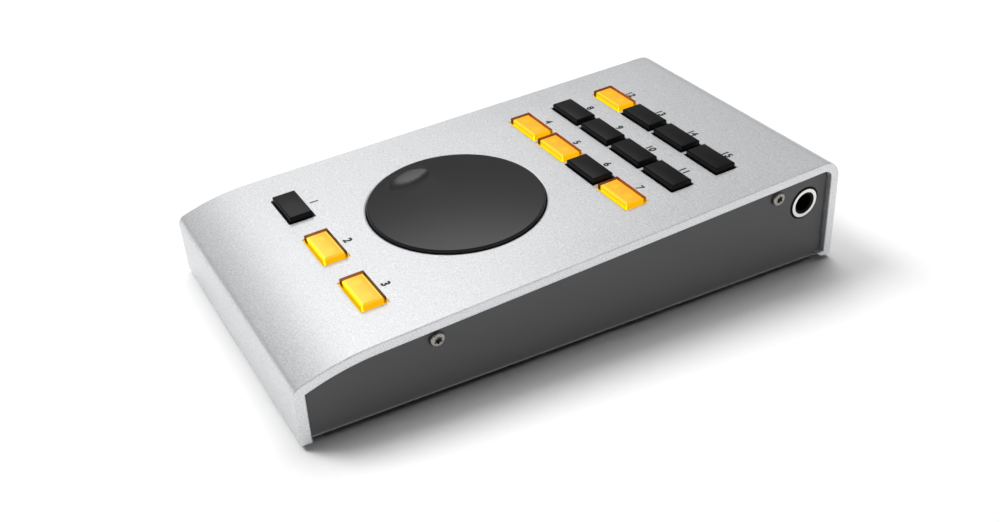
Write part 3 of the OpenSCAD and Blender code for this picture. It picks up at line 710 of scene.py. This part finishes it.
def white_paper():
    """White paper that keeps the object's shadow, and runs out to plain white further off"""
    material, tree, shader = start("white_paper")
    grain(tree, shader, 1 * MM, ("#FAFAFA", "#FCFCFC"), (0.9, 1.0), 0.004 * MM)
    shader.inputs["Specular IOR Level"].default_value = 0.0
    place = add(tree, "TexCoord").outputs["Object"]
    far = add(tree, "VectorMath", {0: place}, operation="LENGTH").outputs["Value"]
    fade = ramp(tree, far, (PAPER_NEAR, PAPER_FAR), (0.0, 1.0), interpolation_type="SMOOTHSTEP")
    share = add(tree, "Math", {0: fade, 1: seen_rays(tree)}, operation="MULTIPLY")
    white = add(tree, "Emission", {"Color": srgb("#FFFFFF"), "Strength": 1.0})
    both = add(tree, "MixShader", {0: share.outputs[0], 1: shader.outputs[0], 2: white.outputs[0]})
    tree.links.new(both.outputs[0], tree.nodes["Material Output"].inputs["Surface"])
    return material


def make_floor():
    """The sheet of paper under the object"""
    mesh = bmesh.new()
    bmesh.ops.create_circle(mesh, cap_ends=True, radius=PAPER_R, segments=PAPER_SIDES)
    data = bpy.data.meshes.new("floor")
    mesh.to_mesh(data)
    mesh.free()
    data.materials.append(white_paper())
    floor = bpy.data.objects.new("floor", data)
    bpy.context.scene.collection.objects.link(floor)


def make_lamp(name, turn, rise, size, level, diffuse=True, glossy=True, lights=None):
    """A softbox that faces the object: turn from the left to the rear, rise over the floor, level as the
    brightness that it gives a white sheet facing it, and the only objects that it lights, if not all"""
    away = Vector((-cos(turn) * cos(rise), sin(turn) * cos(rise), sin(rise)))
    data = bpy.data.lights.new(name, "AREA")
    data.shape = "DISK"
    data.size = size
    data.energy = level * (pi * LAMP_DISTANCE) ** 2
    lamp = bpy.data.objects.new(name, data)
    lamp.location = away * LAMP_DISTANCE
    lamp.rotation_euler = (-away).to_track_quat("-Z", "Y").to_euler()
    lamp.visible_diffuse = diffuse
    lamp.visible_glossy = glossy
    lamp.visible_transmission = glossy
    bpy.context.scene.collection.objects.link(lamp)
    if lights:
        lamp.light_linking.receiver_collection = bpy.data.collections.new(name)
        for lit in lights:
            lamp.light_linking.receiver_collection.objects.link(lit)


def make_world(level):
    """A sky that is white at the horizon and greyer overhead where it is seen or mirrored, dim as a light"""
    world = bpy.data.worlds.new("studio")
    bpy.context.scene.world = world
    world.use_nodes = True
    tree = world.node_tree
    aim = add(tree, "SeparateXYZ", {0: add(tree, "TexCoord").outputs["Generated"]})
    shade = ramp(tree, aim.outputs[2], (0.0, SKY_RISE), (1.0, SKY_TOP), interpolation_type="SMOOTHSTEP")
    strength = add(tree, "Mix", {0: seen_rays(tree), 2: level, 3: shade})
    sky = tree.nodes["Background"]
    sky.inputs["Color"].default_value = srgb("#FFFFFF")
    tree.links.new(strength.outputs[0], sky.inputs["Strength"])


def make_camera():
    """Camera at the photograph's place"""
    data = bpy.data.cameras.new("camera")
    data.sensor_width = SENSOR_W
    data.lens = CAMERA_LENS
    data.clip_start = 10 * MM
    camera = bpy.data.objects.new("camera", data)
    facing = (CAMERA_AIM - CAMERA_AT).to_track_quat("-Z", "Y").to_matrix().to_4x4()
    camera.matrix_world = Matrix.Translation(CAMERA_AT) @ facing @ Matrix.Rotation(CAMERA_ROLL, 4, "Z")
    bpy.context.scene.collection.objects.link(camera)
    bpy.context.scene.camera = camera


pieces = [made for made in bpy.context.scene.objects if made.type == "MESH"]
make_floor()
make_lamp("key", radians(-51), radians(50), size=1.15, level=0.7, glossy=False)
make_lamp("overhead", radians(26), radians(70), size=2.55, level=0.84, glossy=False)
make_lamp("fill", radians(160), radians(8), size=0.8, level=0.6, glossy=False, lights=pieces)
make_lamp("sheen", radians(9), radians(49), size=1.62, level=0.178, diffuse=False,
          lights=[made for made in pieces if made is not dial])
make_lamp("dial_sheen", radians(21), radians(56), size=1.58, level=0.25, diffuse=False, lights=[dial])
make_world(level=0.01)
make_camera()
bpy.context.scene.view_settings.view_transform = "Standard"
